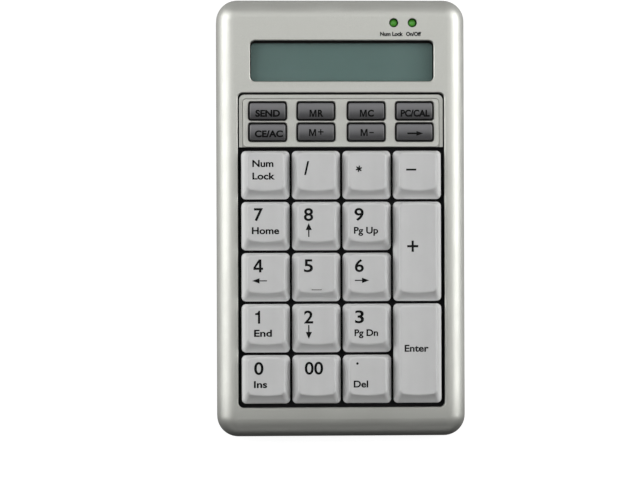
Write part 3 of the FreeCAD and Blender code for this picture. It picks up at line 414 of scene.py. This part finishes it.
def glyph_mesh(text, weight):
    """A solid text mesh in the built-in font, with x, y and z each in 0 to 1 of its box."""
    curve = bpy.data.curves.new(text, "FONT")
    curve.body = text
    curve.extrude = 0.01  # any depth will do, as the mesh is scaled to a unit box below
    curve.offset = weight
    curve.resolution_u = 6
    holder = bpy.data.objects.new(text, curve)
    bpy.context.scene.collection.objects.link(holder)
    bpy.context.view_layer.update()
    mesh = bpy.data.meshes.new_from_object(holder)
    bpy.data.objects.remove(holder)
    bpy.data.curves.remove(curve)
    lows = [min(v.co[axis] for v in mesh.vertices) for axis in range(3)]
    highs = [max(v.co[axis] for v in mesh.vertices) for axis in range(3)]
    for vertex in mesh.vertices:
        vertex.co = [(vertex.co[a] - lows[a]) / (highs[a] - lows[a]) for a in range(3)]
    return mesh


def outline_mesh(points, name):
    """A solid prism of height 1 on a flat outline of (x, y) points."""
    count = len(points)
    vertices = [(x, y, z) for z in (0, 1) for x, y in points]
    faces = [tuple(reversed(range(count))), tuple(range(count, 2 * count))]
    faces += [(i, (i + 1) % count, (i + 1) % count + count, i + count) for i in range(count)]
    mesh = bpy.data.meshes.new(name)
    mesh.from_pydata(vertices, [], faces)
    return mesh


def arrow_points(shaft, head):
    """A right-pointing arrow in a box of 0 to 1: half thickness of the shaft, share of the head."""
    return [(0, 0.5 - shaft), (1 - head, 0.5 - shaft), (1 - head, 0), (1, 0.5), (1 - head, 1),
            (1 - head, 0.5 + shaft), (0, 0.5 + shaft)]


def points_round(reaches):
    """Points all round the centre of a box of 0 to 1, from its right, each at its own reach."""
    turns = [math.tau * index / len(reaches) for index in range(len(reaches))]
    return [(0.5 + reach * math.cos(turn), 0.5 + reach * math.sin(turn))
            for reach, turn in zip(reaches, turns)]


def turned(points, quarter_turns):
    """Points in a box of 0 to 1 turned about its centre, anticlockwise."""
    for _ in range(quarter_turns):
        points = [(1 - y, x) for x, y in points]
    return points


def slice_across(mesh, axis, slices):
    """Cut a unit mesh into strips along x or y, so that it can follow a curved surface."""
    cutter = bmesh.new()
    cutter.from_mesh(mesh)
    bmesh.ops.triangulate(cutter, faces=cutter.faces[:])
    for index in range(1, slices):
        point, normal = Vector(), Vector()
        point[axis] = index / slices
        normal[axis] = 1
        everything = cutter.verts[:] + cutter.edges[:] + cutter.faces[:]
        bmesh.ops.bisect_plane(cutter, geom=everything, plane_co=point, plane_no=normal)
    cutter.to_mesh(mesh)
    cutter.free()


def rounded_box(width, height, radius):
    """Points round a rectangle with round corners about the origin, anticlockwise."""
    corner_steps = 6
    points = []
    for corner, (side, end) in enumerate([(1, -1), (1, 1), (-1, 1), (-1, -1)]):
        for step in range(corner_steps + 1):
            turn = math.radians(90 * (corner - 1) + 90 / corner_steps * step)
            points.append((side * (width / 2 - radius) + radius * math.cos(turn),
                           end * (height / 2 - radius) + radius * math.sin(turn)))
    return points


def ring_mesh(outer, inner, name):
    """A flat band of height 1 between two outlines with equal numbers of points."""
    count = len(outer)
    vertices = [(x, y, z) for z in (0, 1) for points in (outer, inner) for x, y in points]
    faces = []
    for index in range(count):
        after = (index + 1) % count
        faces.append((index + 2 * count, after + 2 * count, after + 3 * count, index + 3 * count))
        faces.append((after, index, index + count, after + count))
        faces.append((index, after, after + 2 * count, index + 2 * count))
        faces.append((after + count, index + count, index + 3 * count, after + 3 * count))
    mesh = bpy.data.meshes.new(name)
    mesh.from_pydata(vertices, [], faces)
    return mesh


# Half the thickness of a print, and the width of the strips that a print is cut into.
INK_DEPTH = 0.012
STRIP = 0.6


def lay_print(mesh, name, body, centre, box_mm, surface, ink):
    """Scale a unit mesh to a box (left, base, width, height) about a centre and lay it on a piece."""
    left, base, width, height = box_mm
    curved_axis = 1 if surface is button_crown else 0
    slice_across(mesh, curved_axis, max(2, round(width / STRIP)))
    for vertex in mesh.vertices:
        x = left + vertex.co.x * width
        y = base + vertex.co.y * height
        z = surface(x, y) + (2 * vertex.co.z - 1) * INK_DEPTH
        vertex.co = DECK @ Vector(((centre[0] + x) * MM, (centre[1] + y) * MM, z * MM))
    mesh.materials.clear()
    mesh.materials.append(ink)
    piece = bpy.data.objects.new(name, mesh)
    bpy.context.scene.collection.objects.link(piece)
    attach(piece, body)


# Base lines and heights of the two rows of print on a key, and how far each kind of print is
# emboldened.
DIGIT_BASE, DIGIT_HEIGHT = 1.85, 4.85
WORD_BASE, WORD_HEIGHT = -3.05, 2.65
DIGIT_WEIGHT, WORD_WEIGHT, BUTTON_WEIGHT, LABEL_WEIGHT = 0.018, 0.029, 0.04, 0.05
# A word with one of these letters reaches below its base line by this share of its height.
TAILED_LETTERS, TAIL = "gp", 0.26

# Where the printed keys stand: column from the left, row from the rear and rows spanned.
KEY_PLACES = {
    "key_num_lock": (0, 0, 1), "key_divide": (1, 0, 1), "key_multiply": (2, 0, 1), "key_minus": (3, 0, 1),
    "key_7": (0, 1, 1), "key_8": (1, 1, 1), "key_9": (2, 1, 1), "key_plus": (3, 1, 2),
    "key_4": (0, 2, 1), "key_5": (1, 2, 1), "key_6": (2, 2, 1),
    "key_1": (0, 3, 1), "key_2": (1, 3, 1), "key_3": (2, 3, 1), "key_enter": (3, 3, 2),
    "key_0": (0, 4, 1), "key_00": (1, 4, 1), "key_decimal": (2, 4, 1),
}


def key_centre(key):
    """The middle of a key, across and along the deck."""
    column, row, rows = KEY_PLACES[key]
    return ((column - MIDDLE_COLUMN) * KEY_PITCH_ACROSS,
            REAR_ROW - (row + (rows - 1) / 2) * KEY_PITCH_ALONG)


# One line per printed text on a key, with the box it fills: left edge, base line, width and height
# about the key's centre.
KEY_PRINTS = [
    ("key_num_lock", "Num", (-4.95, 2.9, 7.9, WORD_HEIGHT)),
    ("key_num_lock", "Lock", (-4.95, -1.8, 8.45, WORD_HEIGHT)),
    ("key_divide", "/", (-4.6, -0.1, 1.9, 5.2)),
    ("key_7", "7", (-4.4, DIGIT_BASE, 3.4, DIGIT_HEIGHT)),
    ("key_7", "Home", (-5.2, WORD_BASE, 10.2, WORD_HEIGHT)),
    ("key_8", "8", (-4.75, DIGIT_BASE, 3.5, DIGIT_HEIGHT)),
    ("key_9", "9", (-4.85, DIGIT_BASE, 3.5, DIGIT_HEIGHT)),
    ("key_9", "Pg Up", (-5.05, WORD_BASE, 9.1, WORD_HEIGHT)),
    ("key_5", "5", (-4.8, DIGIT_BASE, 3.4, DIGIT_HEIGHT)),
    ("key_6", "6", (-4.75, DIGIT_BASE, 3.4, DIGIT_HEIGHT)),
    ("key_1", "End", (-4.5, WORD_BASE, 6.7, WORD_HEIGHT)),
    ("key_2", "2", (-4.8, DIGIT_BASE, 3.45, DIGIT_HEIGHT)),
    ("key_3", "3", (-4.75, DIGIT_BASE, 3.4, DIGIT_HEIGHT)),
    ("key_3", "Pg Dn", (-4.95, WORD_BASE, 8.85, WORD_HEIGHT)),
    ("key_0", "0", (-4.5, DIGIT_BASE, 3.5, DIGIT_HEIGHT)),
    ("key_0", "Ins", (-4.6, WORD_BASE, 4.95, WORD_HEIGHT)),
    ("key_00", "00", (-4.6, DIGIT_BASE, 6.9, DIGIT_HEIGHT)),
    ("key_decimal", "Del", (-5.3, WORD_BASE, 5.45, WORD_HEIGHT)),
    ("key_enter", "Enter", (-5.2, 0.65, 9.05, WORD_HEIGHT)),
]

# Outlines of the drawn marks, each in a box of 0 to 1.
BAR = [(0, 0), (1, 0), (1, 1), (0, 1)]
PLUS = [(0, 0.4), (0.4, 0.4), (0.4, 0), (0.6, 0), (0.6, 0.4), (1, 0.4), (1, 0.6),
        (0.6, 0.6), (0.6, 1), (0.4, 1), (0.4, 0.6), (0, 0.6)]
DOT = points_round([0.5] * 16)
STAR = turned(points_round([0.5, 0.24, 0.5] * 6), 1)
ONE = [(0.56, 0), (1, 0), (1, 1), (0.7, 1), (0.5, 0.85), (0, 0.8), (0, 0.67), (0.56, 0.67)]
# The figure four's counter is joined to its outline by a hairline slit through the crossbar.
FOUR = [(0, 0.2), (0.575, 0.2), (0.575, 0.37), (0.24, 0.37), (0.58, 0.74), (0.58, 0), (0.83, 0),
        (0.83, 0.2), (1, 0.2), (1, 0.37), (0.83, 0.37), (0.83, 1), (0.56, 1), (0, 0.38)]
LETTER_M = [(0, 0), (0.19, 0), (0.19, 0.66), (0.41, 0), (0.59, 0), (0.81, 0.66), (0.81, 0), (1, 0),
            (1, 1), (0.73, 1), (0.5, 0.3), (0.27, 1), (0, 1)]
KEY_ARROW = arrow_points(0.1, 0.5)
BUTTON_ARROW = arrow_points(0.17, 0.42)

# One line per drawn mark on a key, with its box.
KEY_MARKS = [
    ("key_minus", "minus", BAR, (-4.4, 1.5, 3.85, 0.7)),
    ("key_plus", "plus", PLUS, (-4.1, -0.2, 4.2, 4.2)),
    ("key_multiply", "star", STAR, (-4.35, 0.95, 2.5, 2.5)),
    ("key_decimal", "point", DOT, (-4.35, 5.5, 0.95, 0.95)),
    ("key_1", "one", ONE, (-4.05, DIGIT_BASE, 1.85, DIGIT_HEIGHT)),
    ("key_4", "four", FOUR, (-4.65, DIGIT_BASE, 3.6, DIGIT_HEIGHT)),
    ("key_8", "arrow", turned(KEY_ARROW, 1), (-4.1, -4.12, 2.35, 5.22)),
    ("key_2", "arrow", turned(KEY_ARROW, 3), (-4.2, -3.92, 2.35, 5.22)),
    ("key_4", "arrow", turned(KEY_ARROW, 2), (-5.15, -2.3, 5.55, 2.0)),
    ("key_6", "arrow", KEY_ARROW, (-4.75, -2.25, 5.4, 2.0)),
]

# Texts and drawn marks on the buttons: column, row and the box about the button's centre.
BUTTON_PRINTS = [
    ("button_send", 0, 0, "SEND", (-4.6, -2.2, 9.25, 2.65)),
    ("button_mr", 1, 0, "R", (0.65, -2.2, 2.1, 2.65)),
    ("button_mc", 2, 0, "C", (0.5, -2.2, 2.3, 2.65)),
    ("button_mode", 3, 0, "PC/CAL", (-5.25, -2.2, 10.9, 2.65)),
    ("button_clear", 0, 1, "CE/AC", (-4.85, -1.9, 10.55, 2.6)),
]
BUTTON_MARKS = [
    ("button_mr", 1, 0, "M", LETTER_M, (-2.45, -2.2, 2.65, 2.65)),
    ("button_mc", 2, 0, "M", LETTER_M, (-2.45, -2.2, 2.6, 2.65)),
    ("button_m_plus", 1, 1, "M", LETTER_M, (-2.65, -1.45, 2.65, 2.6)),
    ("button_m_plus", 1, 1, "plus", PLUS, (0.7, -0.95, 2.1, 2.1)),
    ("button_m_minus", 2, 1, "M", LETTER_M, (-2.2, -1.45, 2.65, 2.6)),
    ("button_m_minus", 2, 1, "minus", BAR, (1.05, -0.4, 1.7, 0.42)),
    ("button_backspace", 3, 1, "arrow", BUTTON_ARROW, (-2.75, -1.4, 5.9, 1.8)),
]

# Labels in front of the lamps, with their boxes about the deck's origin.
LAMP_PRINTS = [
    ("lamp_num_lock", "Num Lock", (14.75, 68.25, 8.65, 1.6)),
    ("lamp_power", "On/Off", (24.5, 68.25, 5.7, 1.6)),
]

# The painted shadow, a dark line along the front foot of the 5 key's homing bar, as a box about the key's
# centre.
HOMING_LINE = (-1.85, -4.85, 3.7, 0.4)

# The painted shadow round the display window, a dark band laid like print: width, length and corner radius
# of its two outlines, and how far the inner one sits towards the front.
BAND_OUTER = (69.5, 15.8, 2.1)
BAND_INNER = (68.3, 14.3, 1.5)
BAND_SHIFT = 0.35

for key, text, (left, base, width, height) in KEY_PRINTS:
    tail = height * TAIL if any(letter in TAILED_LETTERS for letter in text) else 0
    weight = DIGIT_WEIGHT if height == DIGIT_HEIGHT else WORD_WEIGHT
    label = text.replace(" ", "_").replace("/", "slash")
    lay_print(glyph_mesh(text, weight), f"print_{key}_{label}", f"{key}_body",
              key_centre(key), (left, base - tail, width, height + tail), key_dish, KEY_INK)

for key, mark, points, box_mm in KEY_MARKS:
    lay_print(outline_mesh(points, mark), f"print_{key}_{mark}", f"{key}_body",
              key_centre(key), box_mm, key_dish, KEY_INK)

# The line is painted shadow along the bar's front foot, and makes the low homing bar show from above.
lay_print(outline_mesh(BAR, "homing_line"), "homing_bar_line", "key_5_body", key_centre("key_5"),
          HOMING_LINE, key_dish, HOMING_PAINTED_SHADOW)

for button, column, row, text, box_mm in BUTTON_PRINTS:
    lay_print(glyph_mesh(text, BUTTON_WEIGHT), f"print_{button}_text", f"{button}_body",
              (BUTTON_COLUMNS[column], BUTTON_ROWS[row]), box_mm, button_crown, LABEL_INK_AND_WINDOW_SHADOW)

for button, column, row, mark, points, box_mm in BUTTON_MARKS:
    lay_print(outline_mesh(points, mark), f"print_{button}_{mark}", f"{button}_body",
              (BUTTON_COLUMNS[column], BUTTON_ROWS[row]), box_mm, button_crown, LABEL_INK_AND_WINDOW_SHADOW)

for lamp, text, box_mm in LAMP_PRINTS:
    lay_print(glyph_mesh(text, LABEL_WEIGHT), f"print_{lamp}", "case", (0, 0), box_mm,
              deck_surface, LABEL_INK_AND_WINDOW_SHADOW)

# The band of painted shadow is wider along its rear edge, and its box of 1 by 1 keeps the outlines in
# millimetres.
band_opening = [(x, y - BAND_SHIFT) for x, y in rounded_box(*BAND_INNER)]
band = ring_mesh(rounded_box(*BAND_OUTER), band_opening, "window_band")
lay_print(band, "painted_shadow_round_window", "case", DISPLAY_CENTRE, (0, 0, 1, 1), window_surface, LABEL_INK_AND_WINDOW_SHADOW)


# ---------------------------------------------------------------- floor, lights and camera

def floor_material():
    """White paper to the camera; to light that bounces onto the object it is grey, and dark in front."""
    recipe = Recipe("studio_floor")
    recipe.set(Specular_IOR_Level=0.05, Emission_Strength=1.0)
    seen = recipe.add("LightPath").outputs["Is Camera Ray"]
    glow = recipe.blend(seen, (0, 0, 0), (0.9, 0.9, 0.9))
    recipe.join(glow, recipe.shader.inputs["Emission Color"])
    speckle = recipe.remap(recipe.noise(40, detail=2), 0.3, 0.7, 0, 1)
    paper = recipe.blend(speckle, (0.24, 0.24, 0.24), (0.27, 0.27, 0.27))
    ahead = recipe.remap(recipe.along("Y"), -120 * MM, -40 * MM, 0, 1)
    bounce = recipe.blend(ahead, (0.01, 0.01, 0.01), paper)
    rough = recipe.remap(recipe.noise(20), 0.3, 0.7, 0.8, 0.95)
    weave = recipe.bump(recipe.noise(2), 0.02, 0.05)
    return recipe.finish(recipe.blend(seen, bounce, paper), rough, weave)


def add_floor():
    """A square of paper far larger than the camera's view."""
    reach = 8.0
    corners = [(-reach, -reach, 0), (reach, -reach, 0), (reach, reach, 0), (-reach, reach, 0)]
    mesh = bpy.data.meshes.new("floor")
    mesh.from_pydata(corners, [], [(0, 1, 2, 3)])
    floor = bpy.data.objects.new("floor", mesh)
    floor.data.materials.append(floor_material())
    bpy.context.scene.collection.objects.link(floor)


# Each lamp's place, width and height in metres, and its power in watts.
SOFTBOXES = [
    ("left_softbox", (-0.75, 0.2, 0.37), 0.8, 0.8, 7.3),
    ("right_softbox", (0.75, 0.2, 0.37), 0.8, 0.6, 7.0),
    ("overhead_softbox", (0.0, 0.27, 0.95), 1.9, 0.7, 4.0),
    ("front_softbox", (0.0, -0.7, 0.16), 0.9, 0.2, 0.8),
]


def add_softbox(name, place, width, height, watts):
    """A rectangular lamp aimed at the object's middle."""
    lamp = bpy.data.lights.new(name, "AREA")
    lamp.shape = "RECTANGLE"
    lamp.size = width
    lamp.size_y = height
    lamp.energy = watts
    holder = bpy.data.objects.new(name, lamp)
    holder.location = place
    holder.rotation_euler = (-Vector(place)).to_track_quat("-Z", "Y").to_euler()
    bpy.context.scene.collection.objects.link(holder)


def add_world(front, rear, above):
    """Even light from above that fades to one level at the front and another at the rear."""
    world = bpy.data.worlds.new("studio")
    world.use_nodes = True
    tree = world.node_tree
    parts = tree.nodes.new("ShaderNodeSeparateXYZ")
    tree.links.new(tree.nodes.new("ShaderNodeTexCoord").outputs["Generated"], parts.inputs[0])
    fore_aft = tree.nodes.new("ShaderNodeMapRange")
    rise = tree.nodes.new("ShaderNodeMapRange")
    # Each ramp reads one component of the direction, from and to the first two of its limits.
    ramps = ((fore_aft, "Y", (-0.7, 0.7, front, rear)), (rise, "Z", (0.1, 0.7, 0, 1)))
    for node, socket, limits in ramps:
        tree.links.new(parts.outputs[socket], node.inputs["Value"])
        for name, number in zip(("From Min", "From Max", "To Min", "To Max"), limits):
            node.inputs[name].default_value = number
    level = tree.nodes.new("ShaderNodeMix")
    tree.links.new(rise.outputs["Result"], level.inputs["Factor"])
    tree.links.new(fore_aft.outputs["Result"], level.inputs["A"])
    level.inputs["B"].default_value = above
    tree.links.new(level.outputs["Result"], tree.nodes["Background"].inputs["Strength"])
    bpy.context.scene.world = world


CAMERA_LENS = 149.97
CAMERA_DISTANCE = 1.0
CAMERA_TARGET = Vector((-8.09, -8.95, 17.0)) * MM
# The camera's turns in degrees from looking straight down.
CAMERA_LEAN_SIDE, CAMERA_LEAN_FRONT, CAMERA_ROLL = -2.41, 2.773, -0.288


def add_camera():
    """Almost overhead: leaning a little to the front and to the left, a metre away."""
    camera = bpy.data.cameras.new("camera")
    camera.lens = CAMERA_LENS
    camera.sensor_width = 36
    camera.clip_end = 10
    holder = bpy.data.objects.new("camera", camera)
    turn = Matrix.Rotation(math.radians(CAMERA_ROLL), 4, "Z")
    turn @= Matrix.Rotation(math.radians(CAMERA_LEAN_SIDE), 4, "Y")
    turn @= Matrix.Rotation(math.radians(CAMERA_LEAN_FRONT), 4, "X")
    away = Matrix.Translation((0, 0, CAMERA_DISTANCE))
    holder.matrix_world = Matrix.Translation(CAMERA_TARGET) @ turn @ away
    bpy.context.scene.collection.objects.link(holder)
    bpy.context.scene.camera = holder


add_floor()
add_world(front=0.01, rear=0.75, above=0.2)
for name, place, width, height, watts in SOFTBOXES:
    add_softbox(name, place, width, height, watts)
add_camera()
bpy.context.scene.view_settings.view_transform = "Standard"
